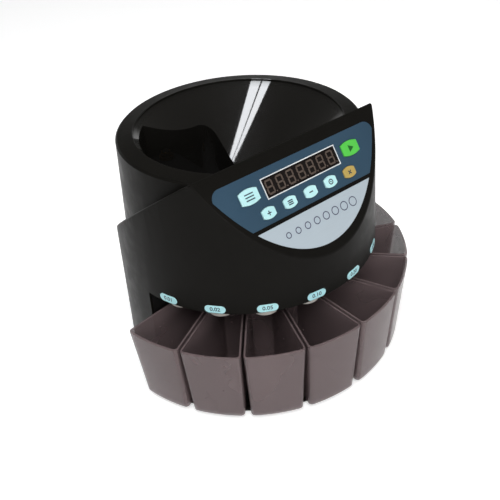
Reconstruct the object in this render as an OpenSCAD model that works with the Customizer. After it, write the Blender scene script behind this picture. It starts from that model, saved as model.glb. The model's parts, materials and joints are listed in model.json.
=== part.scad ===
// Counter-top coin sorter: a round hopper over a motor-driven carrier disc, eight white chutes
// and a fan of eight pull-out coin cups under a body with a sloping control panel.
// Millimetres, +Z up, front towards -Y, origin under the middle of the footprint.

/* [Cups] */
// Angle between neighbouring cups
cup_pitch = 20.74; // [20:0.02:21]
// Outer radius of the fan at the cups' rims
cup_top_r = 177.5; // [172:0.5:184]
// Outer radius of the fan at the cups' floors
cup_base_r = 170; // [166:0.5:172]
// Distance from the drum axis to the cups' inner walls at the rim
cup_back_r = 80; // [79:0.5:86]
// How far the inner wall leans out at the floor
cup_back_lean = 3; // [1:0.5:6]
// Height of the cups' rims above the table
cup_top_z = 94; // [80:1:100]
// Wall thickness of a cup
cup_wall = 2; // [1.5:0.1:3]
// Gap between two cups at the rim
cup_gap_top = 2.4; // [1.6:0.2:4]
// Gap between two cups at the floor
cup_gap_base = 5.6; // [5:0.2:8]
// Radius of a cup's upright corners
cup_corner_r = 4.5; // [3:0.5:8]

/* [Body] */
// Radius of the round body at the table
body_base_r = 145; // [143:0.5:148]
// Draft of the round body
body_draft = 1.7; // [1:0.1:2.2]
// Wall thickness of the mouldings
wall = 2.5; // [2:0.1:3]
// Slope of the control panel
panel_slope = 56.1; // [54:0.1:58]
// Distance of the panel's top edge in front of the drum axis
panel_top_d = 77; // [75:0.5:79]
// Height of the panel's top edge
panel_top_z = 257.5; // [256:0.5:262]
// Slope of the shoulder that falls from the panel to the back
shoulder_slope = 36.8; // [35:0.2:38]
// Height of the shoulder plane at the drum axis
shoulder_z = 203; // [200:0.5:205]
// Height of the skirt's lower edge above the cups
skirt_z = 118.5; // [114:0.5:120]
// Gap between the outermost cups and the ends of the cup bay
bay_margin = 3; // [2:0.5:5]

/* [Hopper] */
// Radius of the drum at the rim
drum_top_r = 125; // [122:0.5:127]
// Draft of the drum
drum_draft = 2.9; // [2:0.1:3.2]
// Height of the rim's outer edge
rim_z = 252.5; // [250:0.5:255]
// Height that the rim gains towards the mouth
rim_rise = 2; // [1:0.2:4]
// Width of the chamfer outside the rim
rim_chamfer = 1.8; // [1:0.2:3]
// Radius of the hopper's mouth
mouth_r = 107; // [104:0.5:109]
// Distance of the straight front wall from the axis
front_wall_d = 57; // [55:0.5:60]
// Slope of the funnel
funnel_slope = 44; // [43:0.5:46]
// Distance of the loading well's back edge behind the axis
well_back_d = 77; // [75:0.5:79]
// How far the well reaches to the right of the axis
well_right_d = 15; // [14:0.5:17]
// How far the well reaches in front of the axis
well_front_d = 14; // [13:0.5:16]
// How far the well reaches from the axis at the left
well_reach_r = 102; // [100:0.5:103]
// Radius of the well's corners
well_corner_r = 15; // [12:0.5:18]
// How far the drum reaches below the shoulder
drum_tuck = 12; // [8:0.5:16]

/* [Sorting] */
// Height of the sorting plate's top face
plate_z = 150; // [148:0.5:152]
// Thickness of the sorting plate
plate_t = 2; // [1.5:0.1:3]
// Radius of the sorting plate
plate_r = 108; // [106:0.5:109]
// Radius of the circle of sorting holes
track_r = 88; // [86:0.5:90]
// Diameter of the smallest sorting hole
first_hole_d = 16.5; // [15:0.5:18]
// Diameter of the largest sorting hole
last_hole_d = 26; // [24:0.5:26]
// Thickness of the carrier disc
disc_t = 3; // [2.4:0.1:3.4]
// Radius of the carrier disc
disc_r = 105; // [103:0.5:107]
// Diameter of a coin pocket
pocket_d = 27; // [26:0.5:28]
// Number of coin pockets
pocket_count = 10; // [8:1:11]
// Running gap between the disc and the plate
disc_gap = 0.4; // [0.3:0.1:0.8]
// Diameter of the drive shaft
shaft_d = 8; // [7:0.5:9]

/* [Chutes] */
// Outer diameter of a chute
chute_d = 28.4; // [28:0.1:28.8]
// Wall of a chute
chute_wall = 0.8; // [0.6:0.1:1]
// How much narrower the sloping tube is than the spout, in radius
chute_step = 0.5; // [0.4:0.1:0.8]
// Radius at which the coins drop into the cups
chute_drop_r = 119.5; // [117:0.5:121]
// Height of the chutes' lips
chute_lip_z = 108; // [104:0.5:111]
// Height where a chute turns upright
chute_bend_z = 116; // [114:0.5:117]

/* [Panel] */
// Thickness of the overlay, the nameplate and the window
trim_t = 0.8; // [0.6:0.1:1.2]
// How far the overlay and the nameplate end inside the body's foot circle
trim_margin = 10.5; // [9:0.5:12]
// Half width of the overlay
overlay_half_w = 101; // [98:0.5:104]
// Top edge of the overlay, down the slope
overlay_top_v = 11.5; // [9:0.5:13]
// Lower edge of the overlay
overlay_base_v = 61; // [59:0.5:63]
// Radius of the overlay's upper corners
overlay_corner_r = 10; // [6:0.5:14]
// Top edge of the silver nameplate
nameplate_top_v = 65; // [64:0.5:67]
// Width of the display window
window_w = 94; // [91:0.5:96]
// Height of the display window
window_h = 20.4; // [19:0.1:22]
// Middle of the display window, down the slope
window_v = 29.7; // [28:0.1:31]
// Width of the pale frame round the display
frame_w = 1; // [0.8:0.1:1.6]
// Height of the pale frame above the window
frame_rise = 0.3; // [0.2:0.1:0.6]

/* [Keys] */
// Distance of the two large keys from the middle
big_key_u = 64.5; // [64:0.1:66]
// Place of the large keys, down the slope
big_key_v = 29.7; // [29:0.1:31]
// Width of a large key
big_key_w = 21.6; // [20:0.2:23]
// Height of a large key
big_key_h = 15; // [14:0.5:17]
// Spacing of the row of small keys
key_pitch = 26.1; // [25:0.1:27]
// Place of the row of small keys
key_row_v = 50.8; // [50:0.1:52]
// Width of a small key
small_key_w = 15.2; // [14:0.2:17]
// Height of a small key
small_key_h = 11.2; // [10:0.2:12]
// How far a key stands above the overlay
key_rise = 1.2; // [1:0.1:1.6]
// How far a key is pressed
key_travel = 0.8; // [0.5:0.1:1]
// Bulge of a key's upper and lower edges
key_bulge = 2.2; // [1.4:0.1:2.6]

/* [Labels] */
// Width of a denomination label
label_w = 21; // [18:0.5:24]
// Height of a denomination label
label_h = 8.6; // [8:0.2:10]
// Thickness of a denomination label
label_t = 0.5; // [0.3:0.1:0.8]
// Gap between the skirt's edge and the labels
label_margin = 0.8; // [0.4:0.1:2]

/* [Base] */
// Height of the rubber feet
foot_h = 3; // [2:0.5:5]
// Diameter of a rubber foot
foot_d = 18; // [14:1:22]
// Thickness of the base pan
base_t = 2.5; // [2:0.1:3]
// Radius of the shelf under the cups
shelf_r = 160; // [150:1:162]
// Height of the guide ribs between the cups
rib_h = 4; // [3:0.5:6]
// Width of a guide rib
rib_w = 2; // [1.6:0.2:2.6]

/* [Drive] */
// Thickness of the deck that carries the mechanism
deck_t = 3; // [2.5:0.1:4]
// Height of the deck's top face
deck_z = 125; // [123:0.5:127]
// Distance of the motor behind the drum axis
motor_d = 80; // [78:0.5:83]
// Diameter of the motor
motor_dia = 37; // [34:0.5:40]
// Length of the motor
motor_len = 38; // [34:0.5:42]
// Length of the gearbox
gearbox_len = 22; // [18:0.5:26]
// Radius of the driven pulley
driven_r = 36; // [34:0.5:38]
// Radius of the motor pulley
driver_r = 9; // [8:0.5:10]
// Height of the pulleys
pulley_h = 8; // [6:0.5:10]
// Gap between the deck's flange and the pulleys
pulley_lift = 2; // [1:0.5:4]
// Thickness of the belt
belt_t = 1.6; // [1.2:0.1:2]

/* [Rear] */
// Width of the recess for the mains inlet and the switch
recess_w = 100; // [96:1:104]
// Height of the recess
recess_h = 46; // [40:1:50]
// Height of the recess's middle above the table
recess_z = 48; // [44:1:52]
// How deep the recess's floor lies inside the body's foot circle
recess_depth = 17; // [15:0.5:19]
// Sideways place of the mains inlet
inlet_x = -20; // [-24:0.5:-18]
// Sideways place of the power switch
switch_x = 26; // [24:0.5:28]
// Width of the mains inlet's body
inlet_w = 28; // [26:0.5:30]
// Height of the mains inlet's body
inlet_h = 20; // [19:0.5:22]
// Depth of the mains inlet's body
inlet_len = 26; // [22:0.5:30]
// Width of the power rocker
rocker_w = 9.8; // [9:0.1:11]
// Height of the power rocker
rocker_h = 16; // [15:0.2:18]
// Angle by which the rocker rests tipped to one side
rocker_tip = 9; // [6:0.5:9]

/* [Supply] */
// Width of the transformer's core
core_w = 50; // [46:1:56]
// Depth of the transformer's core
core_d = 26; // [22:1:30]
// Height of the transformer's core
core_h = 42; // [38:1:48]
// Depth of the transformer's winding
coil_d = 44; // [40:1:50]
// Width of the supply board
supply_w = 58; // [54:1:60]
// Depth of the supply board
supply_d = 44; // [40:1:46]
// Height of the standoffs under the supply board
standoff_h = 7; // [5:0.5:10]

/* [Hidden] */
$fn = 64;
far = 400;
fit = 0.05;
clear = 0.3;
cup_count = 8;
// The drum axis stands behind the middle of the footprint
axis_y = (cup_top_r - body_base_r) / 2;
floor_z = foot_h + base_t;
trim_r = body_base_r - trim_margin;
recess_d = body_base_r - recess_depth;
cup_base_z = floor_z + 0.2;
deck_under_z = deck_z - deck_t;
plate_under_z = plate_z - plate_t;
disc_z = plate_z + disc_gap;
disc_top_z = disc_z + disc_t;
pulley_z = deck_z + wall + pulley_lift;
shaft_r = shaft_d / 2;
motor_r = motor_dia / 2;
chute_r = chute_d / 2;
mouth_z = rim_z + rim_rise - wall;
chute_tilt = atan((chute_drop_r - track_r) / (plate_under_z - chute_bend_z));
chute_run = norm([chute_drop_r - track_r, plate_under_z - chute_bend_z]);
chute_top_z = chute_bend_z + chute_r * sin(chute_tilt) + 2 * chute_wall;
funnel_drop = wall / cos(funnel_slope);
rib_from_r = cup_back_r + 18;
rib_to_r = shelf_r - 4;
deck_gap = 1.5;
deck_front_r = body_r(deck_z) - wall - deck_gap;
deck_rear_r = min(drum_r(deck_z), body_r(deck_z)) - wall - deck_gap;
bay_back_r = cup_back_r - 4;
label_z = skirt_z + label_margin + label_h / 2;
bearing_r = 11;
bearing_len = 25;
flange_r = 20;
bush_r = 7;
bush_len = 10;
hub_r = 9;
plate_bore_r = hub_r + 3;
hub_h = 4;
nut_h = 5;
output_r = 3;
screw_r = 1.5;
screw_len = 12;
head_r = 3;
head_h = 1.8;
boss_r = 6;
boss_h = 20;
boss_angles = [10, 50, 130, 170];
boss_ring_r = body_base_r - wall - boss_r;
post_r = 5;
post_ring_r = deck_rear_r - 15.5;
post_angles = [20, 60, 120, 160];
spacer_r = 4;
spacer_inset = 8;
sensor_drop = 3;
sensor_board_w = 13;
sensor_size = [8, 6];
leg_r = 4.5;
leg_ring_r = plate_r + leg_r + 2.5;
leg_angles = [8, 40, 90, 140, 172];
board_depth = 11;
board_t = 1.6;
board_w = 170;
board_top_v = 13;
board_base_v = 62;
board_post_r = 3;
board_posts = [[-54, 15.5], [54, 15.5], [-73, 46], [73, 46]];
switch_size = 6;
switch_h = 3.4;
key_lip = 1.2;
// Windows of the transformer's core, to both sides of its middle limb
core_limb_w = 14;
core_window_w = 10;
core_window_h = 26;
transformer_x = -73;
supply_x = 69;
supply_y = 62;
standoff_r = 3.2;
standoff_inset = 4;
// Capacitors on the supply board: place, radius and height
CANS = [[-14, 8, 8, 26], [-14, -10, 6, 20]];
// Heat sink and connector on the supply board: corner, size
BLOCKS = [[4, -6, 5, 24, 24], [14, -20, 8, 24, 8]];
flange_w = 2;
flange_t = 2.5;
socket_wall = 1.8;
socket_depth = 17;
pin_w = 2;
pin_h = 4;
pin_len = 14;
// Contacts of the mains inlet, across and up from its middle
PINS = [[-7, -1], [0, 4], [7, -1]];
panel_gap = 0.2;
switch_wall = 1.3;
switch_depth = 14;
rocker_room = 6.5;
rocker_swing = 0.9;
rocker_pin_r = 1.2;
rocker_pin_len = rocker_w + 1.8;
switch_w = rocker_w + 2 * (clear + switch_wall);
switch_tall = rocker_h + 2 * (rocker_swing + switch_wall);
// Each key: place across and down the slope, width and height
KEYS = [[-big_key_u, big_key_v, big_key_w, big_key_h],
    [big_key_u, big_key_v, big_key_w, big_key_h],
    [-2 * key_pitch, key_row_v, small_key_w, small_key_h],
    [-key_pitch, key_row_v, small_key_w, small_key_h],
    [0, key_row_v, small_key_w, small_key_h],
    [key_pitch, key_row_v, small_key_w, small_key_h],
    [2 * key_pitch, key_row_v, small_key_w, small_key_h]];
PALE = [0.73, 0.92, 0.95];

function cup_angle(k) = -90 + cup_pitch * (k - (cup_count + 1) / 2);
function hole_d(k) = first_hole_d + (last_hole_d - first_hole_d) * (k - 1) / (cup_count - 1);
function body_r(z) = body_base_r - z * tan(body_draft);
function drum_r(z) = drum_top_r + (rim_z - z) * tan(drum_draft);
function funnel_z(r) = mouth_z - (mouth_r - r) * tan(funnel_slope);
function polar(r, a) = [r * cos(a), r * sin(a)];
function arc(centre, r, from, to, steps) =
    [for (i = [0:steps]) centre + polar(r, from + (to - from) * i / steps)];
function mirrored(points) = [for (i = [len(points) - 1:-1:0]) [points[i].x, -points[i].y]];

// Outline of a cup seen from above, with its middle on the X axis
function cup_outline(outer_r, back_r, gap, corner_r) =
    let (half = cup_pitch / 2,
        inset = gap / 2 + corner_r,
        reach = outer_r - corner_r,
        lean = half - asin(inset / reach),
        back_x = back_r + corner_r,
        back_y = (back_x * sin(half) - inset) / cos(half),
        side = concat(arc([0, 0], outer_r, lean / 4, lean * 3 / 4, 2),
            arc(polar(reach, lean), corner_r, lean, half + 90, 4),
            arc([back_x, back_y], corner_r, half + 90, 180, 3)))
    concat(side, mirrored(side));

module on_axis() {
    translate([0, axis_y, 0]) children();
}

// Panel frame: x across, y up the slope, z out of the panel
module in_panel() {
    translate([0, -panel_top_d, panel_top_z]) rotate([panel_slope, 0, 0]) children();
}

module below_panel(depth) {
    in_panel() translate([-far, -far, -2 * far - depth]) cube(2 * far);
}

module below_shoulder(depth) {
    translate([0, 0, shoulder_z]) rotate([-shoulder_slope, 0, 0])
        translate([-far, -far, -2 * far - depth]) cube(2 * far);
}

module above_shoulder(gap) {
    translate([0, 0, shoulder_z]) rotate([-shoulder_slope, 0, 0])
        translate([-far, -far, gap]) cube(2 * far);
}

module body_cone(inset, from_z, to_z) {
    translate([0, 0, from_z])
        cylinder(h = to_z - from_z, r1 = body_r(from_z) - inset, r2 = body_r(to_z) - inset);
}

module drum_cone(grow, from_z, to_z) {
    translate([0, 0, from_z])
        cylinder(h = to_z - from_z, r1 = drum_r(from_z) + grow, r2 = drum_r(to_z) + grow);
}

module tube(outer_r, inner_r, from_z, to_z) {
    difference() {
        translate([0, 0, from_z]) cylinder(h = to_z - from_z, r = outer_r);
        translate([0, 0, from_z - 1]) cylinder(h = to_z - from_z + 2, r = inner_r);
    }
}

module rod(r, from_z, to_z) {
    translate([0, 0, from_z]) cylinder(h = to_z - from_z, r = r);
}

module on_ring(r, angles) {
    for (a = angles) rotate(a) translate([r, 0, 0]) children();
}

module front_half(from_y) {
    translate([-far, -far, -far]) cube([2 * far, far + from_y, 2 * far]);
}

module rear_half(from_y) {
    translate([-far, from_y, -far]) cube([2 * far, far, 2 * far]);
}

module box_between(low, high) {
    translate(low) cube(high - low);
}

// Cups
module cup_block(grow, from_z, to_z) {
    height = cup_top_z - cup_base_z;
    low = (from_z - cup_base_z) / height;
    high = (to_z - cup_base_z) / height;
    hull() {
        for (level = [[from_z, low], [to_z - 0.01, high]])
            translate([0, 0, level[0]]) linear_extrude(0.01)
                polygon(cup_outline(cup_base_r + (cup_top_r - cup_base_r) * level[1] - grow,
                    cup_back_r + cup_back_lean * (1 - level[1]) + grow,
                    cup_gap_base + (cup_gap_top - cup_gap_base) * level[1] + 2 * grow,
                    cup_corner_r - grow / 2));
    }
}

module cup(k) {
    color([0.44, 0.4, 0.41]) on_axis() rotate(cup_angle(k)) difference() {
        cup_block(0, cup_base_z, cup_top_z);
        cup_block(cup_wall, cup_base_z + cup_wall, cup_top_z + 1);
    }
}

// Base
module shelf() {
    intersection() {
        rod(shelf_r, foot_h, floor_z);
        rotate(cup_angle(0.5)) rear_half(0);
        rotate(cup_angle(cup_count + 0.5)) front_half(0);
    }
}

module foot_places() {
    on_ring(body_base_r - foot_d, [35, 145]) children();
    on_ring(shelf_r - foot_d, [-145, -90, -35]) children();
}

module base_pan() {
    color([0.12, 0.12, 0.13]) on_axis() difference() {
        union() {
            rod(body_base_r, foot_h, floor_z);
            shelf();
            on_ring(0, [for (k = [1:cup_count - 1]) cup_angle(k + 0.5)])
                box_between([rib_from_r, -rib_w / 2, foot_h], [rib_to_r, rib_w / 2, floor_z + rib_h]);
        }
        foot_places() rod(foot_d / 6 + fit, 0, far);
        on_ring(boss_ring_r, boss_angles) rod(screw_r + 0.2, 0, floor_z + 1);
        on_ring(post_ring_r, post_angles) rod(screw_r + 0.2, 0, floor_z + 1);
    }
}

module rubber_feet() {
    color([0.09, 0.09, 0.09]) on_axis() foot_places() {
        rod(foot_d / 2, 0, foot_h);
        rod(foot_d / 6, foot_h - 0.1, floor_z - 0.3);
    }
}

// Body
module overlay_outline(grow) {
    half = overlay_half_w + grow;
    top = grow - overlay_top_v;
    base = -overlay_base_v - grow;
    r = overlay_corner_r;
    translate([-half, base]) square([2 * half, top - base - r]);
    translate([r - half, base]) square([2 * (half - r), top - base]);
    for (side = [-1, 1]) translate([side * (half - r), top - r]) circle(r);
}

module overlay_block(grow, from_z, to_z) {
    intersection() {
        rod(trim_r + grow, 0, far);
        in_panel() translate([0, 0, from_z]) linear_extrude(to_z - from_z) overlay_outline(grow);
    }
}

module nameplate_block(grow, from_z, to_z) {
    intersection() {
        rod(trim_r + grow, 0, far);
        in_panel() box_between([-trim_r, -trim_r, from_z], [trim_r, grow - nameplate_top_v, to_z]);
    }
}

module window_block(grow, from_z, to_z) {
    in_panel() translate([0, -window_v, 0])
        box_between([-window_w / 2 - grow, -window_h / 2 - grow, from_z],
            [window_w / 2 + grow, window_h / 2 + grow, to_z]);
}

module key_outline(w, h, grow) {
    half_w = w / 2 + grow;
    half_h = h / 2 + grow;
    bow_r = (half_w * half_w + key_bulge * key_bulge) / (2 * key_bulge);
    intersection() {
        square([2 * half_w, 2 * half_h], center = true);
        translate([0, half_h - bow_r]) circle(bow_r, $fn = 128);
        translate([0, bow_r - half_h]) circle(bow_r, $fn = 128);
    }
}

module key_block(i, grow, from_z, to_z) {
    key = KEYS[i];
    in_panel() translate([key[0], -key[1], from_z]) linear_extrude(to_z - from_z)
        key_outline(key[2], key[3], grow);
}

module board_post_places() {
    in_panel() for (p = board_posts) translate([p.x, -p.y, 0]) children();
}

module body_shell() {
    difference() {
        intersection() {
            body_cone(0, floor_z, panel_top_z + wall * 4);
            below_panel(0);
            below_shoulder(0);
        }
        intersection() {
            body_cone(wall, floor_z - 1, panel_top_z + wall * 4);
            below_panel(wall);
            below_shoulder(wall);
        }
    }
}

module recess_block(grow, from_y, to_y) {
    box_between([-recess_w / 2 - grow, from_y, recess_z - recess_h / 2 - grow],
        [recess_w / 2 + grow, to_y, recess_z + recess_h / 2 + grow]);
}

// Sector that the cups take up, with the gap at its ends
module bay_sector(grow) {
    intersection() {
        rotate(cup_angle(0.5)) rear_half(-bay_margin - grow);
        rotate(cup_angle(cup_count + 0.5)) front_half(bay_margin + grow);
    }
}

module main_housing() {
    color([0.1, 0.1, 0.11]) on_axis() difference() {
        union() {
            body_shell();
            intersection() {
                body_cone(wall / 2, floor_z, skirt_z);
                union() {
                    recess_block(wall, recess_d, far);
                    on_ring(boss_ring_r, boss_angles) rod(boss_r, floor_z, floor_z + boss_h);
                }
            }
            board_post_places() rod(board_post_r, -board_depth, -wall / 2);
        }
        difference() {
            intersection() {
                drum_cone(clear, 0, rim_z + wall * 8);
                rear_half(-front_wall_d - wall - clear);
            }
            below_shoulder(wall * 2);
        }
        intersection() {
            bay_sector(0);
            rod(far, 0, skirt_z);
        }
        recess_block(0, recess_d - 1, far);
        overlay_block(fit, -trim_t, 1);
        nameplate_block(fit, -trim_t, 1);
        window_block(-frame_w - 0.7, -wall * 2, 1);
        for (i = [0:len(KEYS) - 1]) key_block(i, clear, -wall * 2, 1);
        board_post_places() rod(screw_r * 0.8, -board_depth - 1, -wall * 1.5);
        on_ring(boss_ring_r, boss_angles) rod(screw_r + fit, 0, floor_z + screw_len + 2);
    }
}

module hopper_funnel() {
    under_r = mouth_r + (rim_z - wall + funnel_drop - mouth_z) / tan(funnel_slope);
    rotate_extrude($fn = 128) polygon([
        [plate_bore_r, funnel_z(plate_bore_r)],
        [mouth_r, mouth_z],
        [mouth_r, rim_z + rim_rise],
        [drum_r(rim_z) - rim_chamfer, rim_z],
        [drum_r(rim_z - rim_chamfer), rim_z - rim_chamfer],
        [drum_r(rim_z - wall), rim_z - wall],
        [under_r, rim_z - wall],
        [plate_bore_r, funnel_z(plate_bore_r) - funnel_drop]]);
}

module drum_wall() {
    difference() {
        drum_cone(0, floor_z, rim_z - rim_chamfer);
        drum_cone(-wall, floor_z - 1, rim_z);
        below_shoulder(drum_tuck);
    }
}

// Outline of the well: straight behind and at the right, round along the mouth at the left
module well_outline(grow) {
    right = well_right_d + grow;
    back = well_back_d + grow;
    front = -well_front_d - grow;
    r = well_corner_r + grow;
    intersection() {
        circle(well_reach_r + grow, $fn = 128);
        union() {
            translate([-far, front]) square([far + right - r, back - front]);
            translate([-far, front + r]) square([far + right, back - front - 2 * r]);
            translate([right - r, front + r]) circle(r);
            translate([right - r, back - r]) circle(r);
        }
    }
}

module well_skirt() {
    skirt_under_z = disc_top_z + 1.2;
    intersection() {
        translate([0, 0, skirt_under_z]) linear_extrude(rim_z - skirt_under_z) well_outline(wall);
        rotate_extrude($fn = 128) polygon([[0, 0], [mouth_r, 0], [mouth_r, mouth_z],
            [plate_bore_r, funnel_z(plate_bore_r)], [0, funnel_z(plate_bore_r)]]);
    }
}

module straight_wall() {
    low_z = funnel_z(front_wall_d) - funnel_drop;
    intersection() {
        box_between([-far, -front_wall_d - wall, low_z], [far, -front_wall_d, far]);
        drum_cone(-wall / 2, low_z, far);
        below_shoulder(0);
    }
}

module hopper_bowl() {
    color([0.07, 0.07, 0.08]) on_axis() difference() {
        union() {
            intersection() {
                union() {
                    hopper_funnel();
                    drum_wall();
                    well_skirt();
                }
                union() {
                    rear_half(-front_wall_d - wall);
                    above_shoulder(fit);
                }
            }
            straight_wall();
            on_ring(leg_ring_r, leg_angles) rod(leg_r, deck_z, rim_z - wall / 2);
        }
        linear_extrude(far) well_outline(0);
    }
}

module bay_wall() {
    color([0.08, 0.08, 0.09]) on_axis() {
        intersection() {
            tube(bay_back_r, bay_back_r - wall, floor_z, deck_under_z);
            bay_sector(wall);
        }
        difference() {
            intersection() {
                body_cone(wall + clear, floor_z, deck_under_z);
                bay_sector(wall);
            }
            bay_sector(0);
            rod(bay_back_r - wall / 2, 0, far);
        }
    }
}

// Panel pieces
module panel_overlay() {
    color([0.22, 0.32, 0.4]) on_axis() difference() {
        overlay_block(0, -trim_t, 0);
        window_block(fit * 2, -trim_t - 1, 1);
        for (i = [0:len(KEYS) - 1]) key_block(i, clear, -trim_t - 1, 1);
    }
}

module nameplate() {
    color([0.79, 0.82, 0.83]) on_axis() nameplate_block(0, -trim_t, 0);
}

module display_window() {
    color([0.12, 0.1, 0.1]) on_axis() window_block(0, -trim_t, 0);
}

module display_frame() {
    color([0.85, 0.87, 0.88]) on_axis() difference() {
        window_block(0, 0, frame_rise);
        window_block(-frame_w, -1, 1);
    }
}

module display_module() {
    color([0.2, 0.18, 0.17]) on_axis() window_block(-2 * frame_w, -board_depth, -wall - 0.5);
}

module control_board() {
    color([0.1, 0.35, 0.2]) on_axis() difference() {
        in_panel() box_between([-board_w / 2, -board_base_v, -board_depth - board_t],
            [board_w / 2, -board_top_v, -board_depth]);
        board_post_places() rod(screw_r + fit, -board_depth - board_t - 1, 0);
    }
}

module tact_switches() {
    color([0.15, 0.15, 0.15]) on_axis() in_panel() for (key = KEYS)
        translate([key[0] - switch_size / 2, -key[1] - switch_size / 2, -board_depth])
            cube([switch_size, switch_size, switch_h]);
}

module board_screws() {
    shank_z = -wall * 1.5 - 1;
    color([0.7, 0.7, 0.72]) on_axis() board_post_places() {
        rod(screw_r * 0.75, -board_depth - board_t, shank_z);
        rod(head_r, -board_depth - board_t - head_h, -board_depth - board_t);
    }
}

module key(i, tint) {
    lip_z = -wall - clear;
    stem_z = switch_h + key_travel + clear - board_depth;
    color(tint) on_axis() {
        key_block(i, 0, lip_z - key_lip, key_rise);
        key_block(i, key_lip, lip_z - key_lip, lip_z);
        in_panel() translate([KEYS[i][0], -KEYS[i][1], 0]) rod(switch_size / 4, stem_z, lip_z);
    }
}

module denomination_labels() {
    color(PALE) on_axis() for (k = [1:cup_count]) intersection() {
        difference() {
            body_cone(-label_t - fit, skirt_z, label_z + label_h);
            body_cone(-fit, skirt_z - 1, label_z + label_h + 1);
        }
        rotate(cup_angle(k)) translate([0, 0, label_z]) rotate([0, 90, 0]) linear_extrude(far) {
            square([label_h, label_w - label_h], center = true);
            for (side = [-1, 1]) translate([0, side * (label_w - label_h) / 2]) circle(label_h / 2);
        }
    }
}

// Sorting mechanism
// A chute slopes outwards under its hole and ends in an upright spout with a closed top
module chute_core(k, grow) {
    rotate(cup_angle(k)) translate([chute_drop_r, 0, 0]) {
        translate([0, 0, chute_bend_z]) rotate([0, -chute_tilt, 0])
            rod(chute_r - chute_step + grow, 0, chute_run + chute_d);
        rod(chute_r + grow, chute_lip_z - chute_d, chute_top_z + grow);
    }
}

module coin_chutes() {
    color([0.86, 0.84, 0.81]) on_axis() for (k = [1:cup_count]) intersection() {
        difference() {
            chute_core(k, 0);
            chute_core(k, -chute_wall);
        }
        rod(far, chute_lip_z, plate_under_z);
    }
}

module sorting_plate() {
    color([0.75, 0.76, 0.77]) on_axis() difference() {
        tube(plate_r, plate_bore_r, plate_under_z, plate_z);
        for (k = [1:cup_count]) on_ring(track_r, [cup_angle(k)]) rod(hole_d(k) / 2, 0, far);
    }
}

module plate_spacers() {
    color([0.7, 0.7, 0.72]) on_axis() {
        on_ring(plate_r - spacer_inset, [30, 90, 150]) rod(spacer_r, deck_z, plate_under_z);
        on_ring(driven_r + spacer_r + 6, [-60, -120]) rod(spacer_r, deck_z, plate_under_z);
    }
}

module sensor_board() {
    sensor_z = plate_under_z - sensor_drop;
    inner_r = driven_r + 2 * spacer_r + 8;
    color([0.1, 0.35, 0.2]) on_axis() {
        intersection() {
            tube(inner_r + sensor_board_w, inner_r, sensor_z - board_t, sensor_z);
            front_half(0);
        }
        on_ring(inner_r + sensor_board_w / 2, [for (k = [1:cup_count]) cup_angle(k)])
            box_between([-sensor_size.x / 2, -sensor_size.y / 2, sensor_z - board_t / 2],
                [sensor_size.x / 2, sensor_size.y / 2, plate_under_z]);
    }
}

module carrier_disc() {
    color([0.3, 0.3, 0.32]) on_axis() difference() {
        rod(disc_r, disc_z, disc_top_z);
        on_ring(track_r, [for (i = [1:pocket_count]) 360 * i / pocket_count]) rod(pocket_d / 2, 0, far);
        rod(shaft_r + fit, 0, far);
    }
}

module drive_shaft() {
    color([0.72, 0.72, 0.74]) on_axis()
        rod(shaft_r, deck_z - bearing_len, disc_top_z + hub_h + nut_h + 1);
}

module hub_nut() {
    color([0.78, 0.66, 0.36]) on_axis() difference() {
        union() {
            rod(hub_r, disc_top_z, disc_top_z + hub_h);
            translate([0, 0, disc_top_z + hub_h]) cylinder(h = nut_h, r = shaft_d * 0.85, $fn = 6);
        }
        rod(shaft_r + fit, 0, far);
    }
}

module driven_pulley() {
    color([0.85, 0.85, 0.83]) on_axis() difference() {
        rod(driven_r, pulley_z, pulley_z + pulley_h);
        rod(shaft_r + fit, 0, far);
        on_ring(driven_r * 0.58, [30:60:330]) rod(driven_r * 0.2, 0, far);
    }
}

module motor_pulley() {
    color([0.85, 0.85, 0.83]) on_axis() translate([0, motor_d, 0]) {
        rod(output_r, deck_under_z - bush_len, pulley_z + pulley_h + 1);
        rod(driver_r, pulley_z, pulley_z + pulley_h);
    }
}

// Loop round both pulleys, with its straight runs on the common tangents
module belt_outline(big_r, small_r) {
    lean = acos((big_r - small_r) / motor_d);
    circle(big_r);
    translate([0, motor_d]) circle(small_r);
    polygon([polar(big_r, 90 - lean), [0, motor_d] + polar(small_r, 90 - lean),
        [0, motor_d] + polar(small_r, 90 + lean), polar(big_r, 90 + lean)]);
}

module drive_belt() {
    color([0.1, 0.1, 0.1]) on_axis() translate([0, 0, pulley_z + 1]) linear_extrude(pulley_h - 2)
        difference() {
            belt_outline(driven_r + clear + belt_t, driver_r + clear + belt_t);
            belt_outline(driven_r + clear, driver_r + clear);
        }
}

module bearing_housing() {
    color([0.62, 0.63, 0.65]) on_axis() {
        tube(bearing_r, bush_r + fit, deck_z - bearing_len, deck_z);
        tube(flange_r, bush_r + fit, deck_z, deck_z + wall);
    }
}

module shaft_bushes() {
    color([0.72, 0.55, 0.3]) on_axis() {
        tube(bush_r, shaft_r + fit, deck_z - bearing_len, deck_z - bearing_len + bush_len);
        tube(bush_r, shaft_r + fit, deck_z + wall - bush_len, deck_z + wall);
    }
}

module deck_plate() {
    color([0.6, 0.61, 0.63]) on_axis() difference() {
        union() {
            rod(deck_rear_r, deck_under_z, deck_z);
            intersection() {
                rod(deck_front_r, deck_under_z, deck_z);
                bay_sector(0);
            }
        }
        for (k = [1:cup_count]) chute_core(k, clear);
        rod(bearing_r + fit, 0, far);
        translate([0, motor_d, 0]) rod(output_r * 2, 0, far);
        on_ring(post_ring_r, post_angles) rod(screw_r + fit, 0, far);
        motor_screw_places() rod(screw_r + fit, 0, far);
    }
}

module deck_posts() {
    color([0.7, 0.7, 0.72]) on_axis() on_ring(post_ring_r, post_angles) difference() {
        rod(post_r, floor_z, deck_under_z);
        rod(screw_r + fit, floor_z - 1, floor_z + screw_len + 2);
        rod(screw_r + fit, deck_under_z - screw_len - 2, deck_z);
    }
}

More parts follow.
